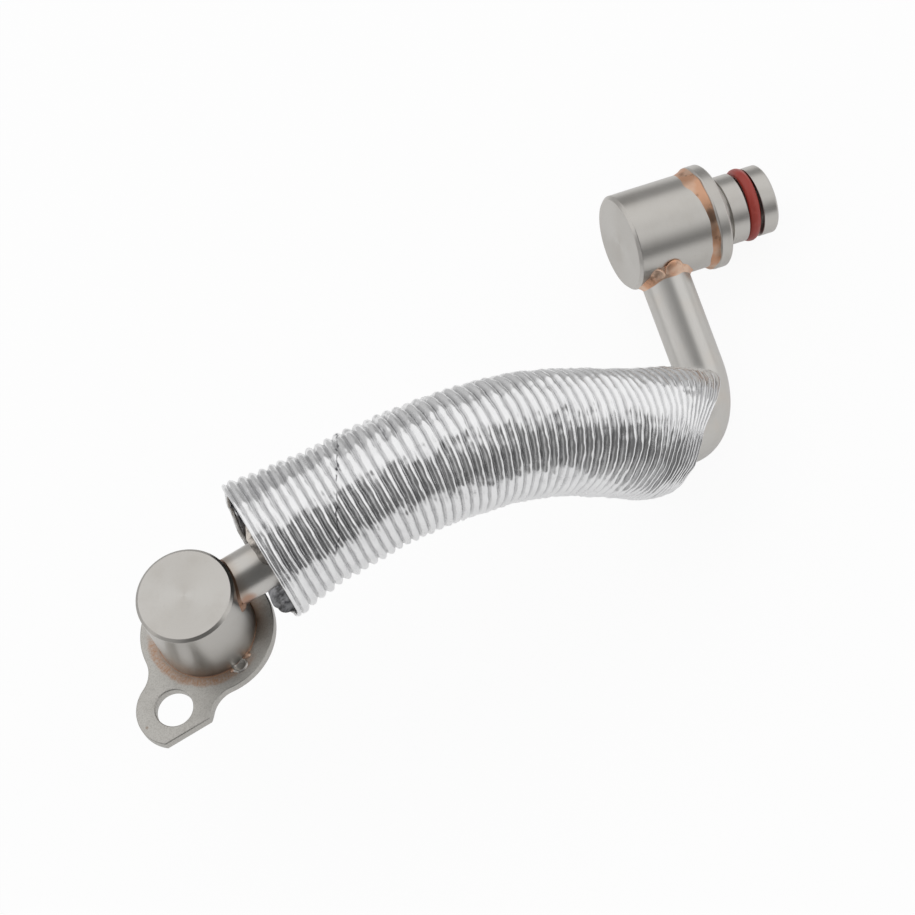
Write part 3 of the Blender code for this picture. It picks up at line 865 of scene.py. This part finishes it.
def coolantTube(material):
    work = bmesh.new()
    across, rings, travelled = Vector((0, 0, 1)), [], []
    start, end = barrelBore, tubeLength - barrelBore
    count = round((end - start) / (0.55 * mm))
    for step in range(count + 1):
        distance = start + (end - start) * step / count
        point, way = walk(tubeLegs, distance)
        across = squareTo(way, across)
        rings.append((point, across.copy(), way.cross(across), tubeRadius))
        travelled.append(distance)
    for point, up, side, _ in reversed(rings[::3] + rings[-1:]):
        rings.append((point, up, side, tubeRadius - tube["wall"]))
    sides = tube["sides"]
    loops = []
    for point, up, side, radius in rings:
        turns = [2 * pi * k / sides for k in range(sides)]
        loops.append([work.verts.new(point + (up * cos(t) + side * sin(t)) * radius) for t in turns])
    unrolled = work.loops.layers.uv.new("tubeLength")
    for index, (one, two) in enumerate(zip(loops, loops[1:] + loops[:1])):
        near = travelled[min(index, count)]
        far = travelled[min(index + 1, count)]
        for k in range(sides):
            after = (k + 1) % sides
            face = work.faces.new((one[k], one[after], two[after], two[k]))
            for corner, (u, v) in zip(face.loops, ((k, near), (k + 1, near), (k + 1, far), (k, far))):
                corner[unrolled].uv = (v * 10, u / sides)
    made = finishObject("coolantTube", work, material)
    place(made, "coolant_tube")


# Heat sleeve: Geometry Nodes wrap a grid round the tube's line

sleeve = {
    "Start": 17.0 * mm,
    "Length": tightBendStart + 4.5 * mm - 17.0 * mm,
    "Radius": 12.55 * mm,
    "Mouth Flare": 2.6 * mm,
    "Flare Length": 8.7 * mm,
    "Wall": 0.3 * mm,
    "Rib Depth": 1.25 * mm,
    "Ribs": 54,
    "Rings per Rib": 9,
    "Sides": 156,
    "Crowding": 0.1,
    "Fan Start": 0.76,
    "Fan Power": 1.5,
    "Crease Sharpness": 0.52,
    "Sharpness Growth": 1.25,
    "Rib Wander": 0.16,
    "Dent Depth": 0.48 * mm,
    "Dent Size": 5.0 * mm,
    "Crinkle Depth": 0.31 * mm,
    "Crinkle Width": 2.1 * mm,
    "Crinkle Length": 5.5 * mm,
    "Mouth Depth": 9.0 * mm,
    "Lip Roll": 0.8 * mm,
    "Lip Width": 1.1 * mm,
    "Bulge": 2.3 * mm,
    "Bulge Turn": 192.0,
    "Bulge Spread": 42.0,
    "Bulge Place": 0.925,
    "Bulge Width": 0.09,
}
sleeveLift = ((0.0, 2.5 * mm), (0.5, 0.8 * mm), (0.78, -0.6 * mm), (1.0, 3.1 * mm))
rimTable = ((0.0, 3.8 * mm), (30.0, 4.2 * mm), (130.0, -7.4 * mm), (160.0, -6.2 * mm),
            (210.0, -4.3 * mm), (300.0, 2.5 * mm), (360.0, 3.8 * mm))
mouthTable = ((0.0, 0.3 * mm), (60.0, 0.0), (160.0, 0.0), (195.0, 0.9 * mm), (225.0, 2.8 * mm),
              (290.0, 2.2 * mm), (315.0, 1.4 * mm), (340.0, 0.4 * mm), (360.0, 0.3 * mm))


# A value that passes smoothly through the table's points
def easedTable(nodes, value, table):
    total = table[0][1]
    for (start, low), (end, high) in zip(table, table[1:]):
        total = nodes.plus(total, nodes.soft(value, start, end, 0.0, high - low))
    return total


def sleeveTree():
    tree = bpy.data.node_groups.new("corrugatedSleeve", "GeometryNodeTree")
    kinds = {"Geometry": "Geometry", "Centre Line": "Object", "Finish": "Material"}
    kinds.update({name: "Int" if isinstance(value, int) else "Float" for name, value in sleeve.items()})
    for name, kind in kinds.items():
        socket = tree.interface.new_socket(name, in_out="INPUT", socket_type="NodeSocket" + kind)
        if name in sleeve:
            socket.default_value = sleeve[name]
    tree.interface.new_socket("Geometry", in_out="OUTPUT", socket_type="NodeSocketGeometry")
    nodes = Wiring(tree)
    plus, minus, times, over = nodes.plus, nodes.minus, nodes.times, nodes.over
    given = nodes.add("NodeGroupInput").outputs

    # The grid's rows are rings: first along the outer wall, then back along the inner one
    outerRings = nodes.timesPlus(given["Ribs"], given["Rings per Rib"], 1.0)
    allRings = plus(outerRings, nodes.timesPlus(given["Ribs"], 2.0, 1.0))
    grid = nodes.add("GeometryNodeMeshGrid", {
        "Size X": 1.0, "Size Y": 1.0,
        "Vertices X": plus(allRings, 1.0), "Vertices Y": plus(given["Sides"], 1.0)})
    row, column, _ = nodes.axes(nodes.add("GeometryNodeInputPosition").outputs[0])
    ring = times(plus(row, 0.5), allRings)
    turn = times(plus(column, 0.5), 2 * pi)
    outerShare = nodes.ramp(ring, 0.0, minus(outerRings, 1.0))
    innerShare = nodes.ramp(ring, outerRings, minus(allRings, 1.0), 1.0, 0.0)
    past = nodes.math("GREATER_THAN", ring, minus(outerRings, 0.5))
    inside = times(past, nodes.math("LESS_THAN", ring, minus(allRings, 0.5)))
    share = plus(times(outerShare, minus(1.0, past)), times(innerShare, past))
    crowded = times(times(share, share), given["Crowding"])
    placeAlong = minus(times(share, plus(given["Crowding"], 1.0)), crowded)
    travelled = times(placeAlong, given["Length"])

    # A point and two directions across the line at each ring
    line = nodes.add("GeometryNodeObjectInfo", {"Object": given["Centre Line"]})
    sample = nodes.add("GeometryNodeSampleCurve", {
        "Curves": line.outputs["Geometry"], "Length": plus(travelled, given["Start"])}, mode="LENGTH")
    centre, way = sample.outputs["Position"], sample.outputs["Tangent"]
    lengthwise = nodes.scaled(way, nodes.vector("DOT_PRODUCT", way, liftWay))
    across = nodes.vector("NORMALIZE", nodes.vector("SUBTRACT", liftWay, lengthwise))
    beside = nodes.vector("CROSS_PRODUCT", way, across)
    cosine, sine = nodes.math("COSINE", turn), nodes.math("SINE", turn)
    outward = nodes.vector("ADD", nodes.scaled(across, cosine), nodes.scaled(beside, sine))
    lifted = nodes.scaled(across, easedTable(nodes, placeAlong, sleeveLift))
    lifted = nodes.vector("ADD", centre, lifted)
    plain = nodes.vector("ADD", lifted, nodes.scaled(outward, given["Radius"]))

    # Ribs that wander a little, the flared mouth and the crushed bulge near the far rim
    wander = minus(nodes.grain(plain, 260.0, 2.0), 0.5)
    phase = nodes.timesPlus(share, given["Ribs"], times(wander, given["Rib Wander"]))
    crest = nodes.math("ABSOLUTE", nodes.math("COSINE", times(phase, pi)))
    sharpness = nodes.ramp(placeAlong, 0.3, 0.8, 1.0, given["Sharpness Growth"])
    crest = nodes.math("POWER", crest, times(sharpness, given["Crease Sharpness"]))
    groove = minus(1.0, crest)
    flare = nodes.math("EXPONENT", over(times(travelled, -1.0), given["Flare Length"]))
    radius = plus(given["Radius"], times(given["Mouth Flare"], flare))
    degrees = nodes.math("DEGREES", turn)
    offTurn = over(minus(degrees, given["Bulge Turn"]), given["Bulge Spread"])
    offPlace = over(minus(placeAlong, given["Bulge Place"]), given["Bulge Width"])
    off = plus(times(offTurn, offTurn), times(offPlace, offPlace))
    crushed = nodes.math("EXPONENT", times(off, -1.0))
    depth = times(given["Rib Depth"], nodes.timesPlus(crushed, -0.8, 1.0))
    radius = minus(radius, times(depth, groove))

    # Dents, crinkles wrapped round the sleeve, the wall's thickness and the rolled mouth edge
    dents = minus(nodes.grain(plain, over(1.0, given["Dent Size"]), 2.0), 0.5)
    roundwise = over(given["Radius"], given["Crinkle Length"])
    wrapped = nodes.combined(
        times(cosine, roundwise), times(sine, roundwise), over(travelled, given["Crinkle Width"]))
    crinkles = minus(nodes.grain(wrapped, 1.0, 3.0, 0.6, Distortion=0.5), 0.5)
    uneven = plus(times(dents, given["Dent Depth"]), times(crinkles, given["Crinkle Depth"]))
    radius = plus(radius, times(uneven, 2.0))
    radius = plus(radius, times(given["Bulge"], crushed))
    radius = minus(radius, times(inside, given["Wall"]))
    rolled = nodes.ramp(travelled, 0.0, given["Lip Width"], 1.0, 0.0)
    radius = minus(radius, times(given["Lip Roll"], times(rolled, rolled)))

    # Both ends are cut slanting by moving rings along the line
    fan = nodes.math("POWER", nodes.ramp(placeAlong, given["Fan Start"], 1.0), given["Fan Power"])
    rim = times(easedTable(nodes, degrees, rimTable), fan)
    mouth = nodes.ramp(travelled, 0.0, given["Mouth Depth"], 1.0, 0.0)
    rim = minus(rim, times(easedTable(nodes, degrees, mouthTable), mouth))
    ended = nodes.vector("ADD", lifted, nodes.scaled(outward, radius))
    ended = nodes.vector("ADD", ended, nodes.scaled(way, rim))
    geometry = grid.outputs["Mesh"]
    # The groove share is stored for the foil's painted shade in the grooves
    for kind, inputs in (
            ("StoreNamedAttribute", {"Name": "groove", "Value": groove}),
            ("SetPosition", {"Position": ended}),
            ("MergeByDistance", {"Distance": 0.001 * mm}),
            ("RealizeInstances", {}),
            ("SetMaterial", {"Material": given["Finish"]})):
        geometry = nodes.add("GeometryNode" + kind, {"Geometry": geometry, **inputs}).outputs[0]
    nodes.add("NodeGroupOutput", {"Geometry": geometry})
    return tree


def centreLine():
    curve = bpy.data.curves.new("centreLine", "CURVE")
    curve.dimensions = "3D"
    total = sum(leg[2] for leg in sleeveLegs)
    count = 500
    spline = curve.splines.new("POLY")
    spline.points.add(count)
    for k, spot in enumerate(spline.points):
        point, _ = walk(sleeveLegs, total * k / count)
        spot.co = (*point, 1)
    return newObject("centreLine", curve)


# An object with the mesh that a node tree makes from these values
def bakedNodes(name, tree, values):
    carrier = newObject(name, bpy.data.meshes.new(name + "Seed"))
    nodes = carrier.modifiers.new(name, "NODES")
    nodes.node_group = tree
    for socket in tree.interface.items_tree:
        if socket.in_out == "INPUT" and socket.name in values:
            nodes[socket.identifier] = values[socket.name]
    evaluated = carrier.evaluated_get(bpy.context.evaluated_depsgraph_get())
    mesh = bpy.data.meshes.new_from_object(evaluated)
    carrier.modifiers.clear()
    carrier.data = mesh
    mesh.name = name
    return carrier


def heatSleeve(material):
    line = centreLine()
    made = bakedNodes("heatSleeve", sleeveTree(), {"Centre Line": line, "Finish": material, **sleeve})
    bpy.data.objects.remove(line)
    work = bmesh.new()
    work.from_mesh(made.data)
    bmesh.ops.recalc_face_normals(work, faces=work.faces)
    work.to_mesh(made.data)
    work.free()
    made.data.shade_smooth()
    place(made, "heat_sleeve")


# The lining is a crumpled foil inside the mouth, darker as painted shade for the shadowed inside of the
# sleeve, and a pale lip of it is folded over the tube

lining = {
    "depth": 9.0 * mm,
    "rows": 22,
    "sides": 200,
    "gap": 1.0 * mm,
    "thick": 0.14 * mm,
    "crumple": 0.45 * mm,
    "crumpleSize": 2.2 * mm,
    "ragged": 0.8 * mm,
    "short": ((0, 1.2 * mm), (185, 1.4 * mm), (205, -0.5 * mm),
              (250, -0.3 * mm), (285, 0.7 * mm), (360, 1.2 * mm)),
}
lip = {
    "turns": (66, 104),
    "columns": 32,
    "depth": 3.0 * mm,
    "out": 1.5 * mm,
    "back": 0.3 * mm,
    "gap": 0.2 * mm,
    "spread": 0.25,
}


def smoothTable(table, value):
    for (start, low), (end, high) in zip(table, table[1:]):
        if value <= end:
            share = (value - start) / (end - start)
            return low + (high - low) * share * share * (3 - 2 * share)
    return table[-1][1]


def sleeveSpot(travelled, degrees, radius, backward):
    point, way = walk(sleeveLegs, sleeve["Start"] + travelled)
    across = squareTo(way, Vector(liftWay))
    beside = way.cross(across)
    turn = radians(degrees)
    lifted = point + across * smoothTable(sleeveLift, travelled / sleeve["Length"])
    return lifted + (across * cos(turn) + beside * sin(turn)) * radius - way * backward


def mouthRadius(travelled):
    flare = sleeve["Mouth Flare"] * exp(-max(0.0, travelled) / sleeve["Flare Length"])
    return sleeve["Radius"] + flare - sleeve["Wall"] - lining["gap"]


# A crumpled sheet inside the mouth: front is how far it reaches out at a turn, depth how far in
def foilSheet(name, turns, columns, front, depth, radiusAt, material):
    work = bmesh.new()
    firstTurn, lastTurn = turns
    sheets = []
    for layer in (0, 1):
        rows = []
        for row in range(lining["rows"] + 1):
            share = row / lining["rows"]
            line = []
            for k in range(columns + 1):
                degrees = firstTurn + (lastTurn - firstTurn) * k / columns
                start = front(degrees)
                travelled = -start + (depth + start) * share
                fall = max(0.0, 1 - travelled / sleeve["Mouth Depth"]) if travelled > 0 else 1.0
                inward, onRing = max(0.0, travelled), degrees % 360
                radius = radiusAt(travelled) - layer * lining["thick"]
                backward = smoothTable(mouthTable, onRing) * fall - min(0.0, travelled)
                spot = sleeveSpot(inward, onRing, radius, backward)
                seed = sleeveSpot(inward, onRing, mouthRadius(0), -travelled) / lining["crumpleSize"]
                line.append(work.verts.new(spot + noise.noise_vector(seed) * lining["crumple"]))
            rows.append(line)
        sheets.append(rows)
    outer, inner = sheets
    for row in range(lining["rows"]):
        for k in range(columns):
            for sheet in sheets:
                one, two = sheet[row], sheet[row + 1]
                work.faces.new((one[k], one[k + 1], two[k + 1], two[k]))
    for k in range(columns):
        for row in (0, -1):
            work.faces.new((outer[row][k], outer[row][k + 1], inner[row][k + 1], inner[row][k]))
    for row in range(lining["rows"]):
        for k in (0, -1):
            work.faces.new((outer[row][k], outer[row + 1][k], inner[row + 1][k], inner[row][k]))
    made = finishObject(name, work, material, 50)
    place(made, "heat_sleeve")


def mouthLining(dark, pale):
    def ragged(degrees):
        near = Vector((cos(radians(degrees)), sin(radians(degrees)), 0.7))
        edge = lining["ragged"] * (noise.noise(near * 3.0) + 0.5 * noise.noise(near * 9.0))
        return edge - smoothTable(lining["short"], degrees % 360)
    # The dark lining sheet is painted shade inside the mouth
    foilSheet("mouthLining", (0, 360), lining["sides"], ragged, lining["depth"], mouthRadius, dark)
    first, last = lip["turns"]
    def folded(degrees):
        swell = max(0.0, sin(radians((degrees - first) / (last - first) * 180)))
        return lip["out"] * swell**0.5 - lip["back"]
    def lipRadius(travelled):
        return mouthRadius(travelled) + lip["gap"] + lip["spread"] * min(0.0, travelled)
    foilSheet("mouthLip", lip["turns"], lip["columns"], folded, lip["depth"], lipRadius, pale)


# Stage

studio = {
    "lens": 275.4,
    "rows": ((0.8589, -0.4661, -0.2124), (-0.5117, -0.7630, -0.3949), (0.0220, 0.4479, -0.8938)),
    "offset": (-48.03 * mm, 34.33 * mm, 1357.62 * mm),
    "floor": 0.93,
    "cameraFloor": 0.93,
    "mirrorFloor": 0.35,
    "fill": 0.62,
    "gap": 0.4 * mm,
}
# What the metal sees above the horizon: a bright wall to the right, a bright panel behind and
# overhead, a dimmer left side and a dark front where the camera stands
sky = {
    "front": 0.15,
    "behind": (0.55, 0.34),
    "left": 0.45,
    "rightTurn": (-58.0, 42.0),
    "rightRise": (3.0, 60.0),
    "overTurn": (22.0, 98.0),
    "leftTurn": (115.0, 150.0),
    "leftRise": (2.0, 45.0),
    "soft": 8.0,
}
lamps = {
    "overhead": {"at": (0.06, 0.50, 0.80), "size": (0.9, 0.7), "power": 2.0},
    "left": {"at": (-0.75, -0.15, 0.45), "size": (0.25, 0.6), "power": 0.5},
    "right": {"at": (0.95, -0.10, 0.45), "size": (0.25, 0.6), "power": 0.6},
}
# Grey cards that only the metal sees, as a photographer lays them behind bright parts
cards = {
    "behindLeft": {"tone": 0.55, "sides": (-1.2, 0.16)},
    "behindRight": {"tone": 0.36, "sides": (0.16, 1.2)},
}
cardReach = ((0.10, -0.036), (1.3, -0.030))
aim = Vector((0.06, 0.01, -0.005))


def window(nodes, value, ends):
    low, high = ends
    soft = sky["soft"]
    fall = nodes.soft(value, high - soft, high + soft, 1.0, 0.0)
    return nodes.times(nodes.soft(value, low - soft, low + soft), fall)


def skyGlow(nodes, way):
    x, y, z = nodes.axes(way)
    turn, rise, over = (nodes.math("DEGREES", angle) for angle in (
        nodes.math("ARCTAN2", y, x), nodes.math("ARCSINE", z), nodes.math("ARCTAN2", z, y)))
    glow = nodes.ramp(y, -0.3, 0.5, sky["front"], nodes.ramp(x, 0.05, 0.4, *sky["behind"]))
    right = nodes.times(window(nodes, turn, sky["rightTurn"]), window(nodes, rise, sky["rightRise"]))
    left = nodes.soft(nodes.math("ABSOLUTE", turn), *sky["leftTurn"])
    left = nodes.times(nodes.times(left, window(nodes, rise, sky["leftRise"])), sky["left"])
    for panel in (left, right, window(nodes, over, sky["overTurn"])):
        glow = nodes.math("MAXIMUM", glow, panel)
    return glow


def addCamera():
    camera = bpy.data.cameras.new("camera")
    camera.lens, camera.sensor_width = studio["lens"], 36.0
    camera.clip_start, camera.clip_end = 0.01, 50.0
    right, down, forward = (Vector(row).normalized() for row in studio["rows"])
    x, y, z = studio["offset"]
    turned = Matrix((right, -down, -forward)).transposed().to_4x4()
    viewer = newObject("camera", camera)
    viewer.matrix_world = Matrix.Translation(-(right * x + down * y + forward * z)) @ turned
    bpy.context.scene.camera = viewer


def addLamps():
    for name, lamp in lamps.items():
        light = bpy.data.lights.new(name, "AREA")
        light.shape = "RECTANGLE"
        light.size, light.size_y = lamp["size"]
        light.energy = lamp["power"]
        shown = newObject(name, light)
        where = Vector(lamp["at"])
        turned = (where - aim).to_track_quat("Z", "Y").to_matrix().to_4x4()
        shown.matrix_world = Matrix.Translation(where) @ turned
        shown.visible_camera = shown.visible_glossy = False


def bareMaterial(name):
    made = bpy.data.materials.new(name)
    made.use_nodes = True
    made.node_tree.nodes.clear()
    return made, Wiring(made.node_tree)


def addCards():
    for name, card in cards.items():
        work = bmesh.new()
        (left, right), (near, far) = card["sides"], cardReach
        corners = ((left, *near), (right, *near), (right, *far), (left, *far))
        work.faces.new([work.verts.new(corner) for corner in corners])
        finish, nodes = bareMaterial(name)
        grey = (card["tone"],) * 3 + (1.0,)
        glow = nodes.add("ShaderNodeEmission", {"Color": grey, "Strength": 1.0})
        nodes.add("ShaderNodeOutputMaterial", {"Surface": glow.outputs[0]})
        shown = finishObject(name, work, finish)
        shown.visible_camera = shown.visible_diffuse = False
        shown.visible_shadow = shown.visible_transmission = False
        shown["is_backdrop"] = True


# The camera sees plain white, the metal sees skyGlow and the rest gets an even fill
def lightSky():
    world = bpy.context.scene.world or bpy.data.worlds.new("studio")
    bpy.context.scene.world = world
    world.use_nodes = True
    world.node_tree.nodes.clear()
    nodes = Wiring(world.node_tree)
    rays = nodes.add("ShaderNodeLightPath").outputs
    seen = nodes.math("MAXIMUM", rays["Is Camera Ray"], rays["Is Transmission Ray"])
    glow = skyGlow(nodes, nodes.add("ShaderNodeTexCoord").outputs["Generated"])
    strength = nodes.add("ShaderNodeMix", {
        "Factor": rays["Is Glossy Ray"], "A": studio["fill"], "B": glow}).outputs[0]
    strength = nodes.add("ShaderNodeMix", {"Factor": seen, "A": strength, "B": 1.0}).outputs[0]
    back = nodes.add("ShaderNodeBackground", {"Color": (1.0, 1.0, 1.0, 1.0), "Strength": strength})
    nodes.add("ShaderNodeOutputWorld", {"Surface": back.outputs[0]})


# A pale floor that glows for the camera, and less for the metal's reflections
def addFloor():
    lowest = min(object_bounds()[0].z, cadBox[0].z) - studio["gap"]
    work = bmesh.new()
    bmesh.ops.create_grid(work, x_segments=1, y_segments=1, size=3.0)
    bmesh.ops.translate(work, verts=work.verts, vec=(0, 0, lowest))
    finish, nodes = bareMaterial("paleFloor")
    diffuse = nodes.add("ShaderNodeBsdfDiffuse", {"Color": (studio["floor"],) * 3 + (1.0,)})
    glow = nodes.add("ShaderNodeEmission", {"Color": (1.0, 1.0, 1.0, 1.0), "Strength": 1.0})
    rays = nodes.add("ShaderNodeLightPath").outputs
    direct = nodes.times(rays["Is Camera Ray"], studio["cameraFloor"])
    mirrored = nodes.times(rays["Is Glossy Ray"], studio["mirrorFloor"])
    mixed = nodes.add("ShaderNodeMixShader", {"Fac": nodes.plus(direct, mirrored)})
    for socket, shader in zip(list(mixed.inputs)[1:], (diffuse, glow)):
        nodes.plug(socket, shader.outputs[0])
    nodes.add("ShaderNodeOutputMaterial", {"Surface": mixed.outputs[0]})
    floor = finishObject("floor", work, finish)
    floor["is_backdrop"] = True


bright = turnedSteel("turnedSteelFlange", flangeFrame)
brightSpigot = turnedSteel("turnedSteelSpigot", spigotFrame)
blasted, drawn = blastedSteel(), drawnSteel()
copper, rubber, foil = copperBraze("copperBraze", 0.0), redRubber(), crinkledFoil()
agedCopper = copperBraze("agedCopper", 0.72)
scorchTurn = radians(280)
scorch = spigotFrame @ Vector((
    barrelRadius * cos(scorchTurn), barrelRadius * sin(scorchTurn), collarBack - 0.5 * mm))
collarCopper = copperBraze("collarCopper", 0.2, scorch)
print("finishes made")
flangePlate(blasted)
flangeBarrel(bright)
sealRing("nozzleSeal", "nozzle_o_ring", nozzle["land"] - nozzle["length"] + nozzle["groove"] / 2,
         rubber, flangeFrame)
ringFillet("flangeBraze", "flange_braze", plate["thickness"], braze["flange"], agedCopper, flangeFrame)
tackSpot(bright, copper)
print("flange end made")
coolantTube(drawn)
tubeFillet("lowerTubeBraze", "lower_tube_braze", startPoint, Vector((1, 0, 0)), Vector((0, 0, 1)),
           barrel["flangeTop"] - barrel["chamfer"] - tube["height"], braze["lower"], agedCopper)
tubeFillet("upperTubeBraze", "upper_tube_braze", spigotPoint, -lastWay, -spigotAxis,
           barrel["spigotInset"] - barrel["chamfer"], braze["upper"], copper)
print("tube made")
spigotBarrel(brightSpigot)
spigotNose(brightSpigot)
sealRing("spigotSeal", "spigot_o_ring", grooveStart + 0.5 * mm + plug["ringWidth"] / 2,
         rubber, spigotFrame, 0.38 * mm)
ringFillet("collarBraze", "collar_braze", collarBack, braze["collar"], collarCopper, spigotFrame)
print("spigot end made")
heatSleeve(foil)
mouthLining(liningFoil("liningFoil", liningLook["colour"]), liningFoil("lipFoil", liningLook["pale"]))
print("sleeve made")
addCamera()
addLamps()
addCards()
lightSky()
addFloor()
bpy.context.scene.view_settings.view_transform = "Standard"
print("stage made")
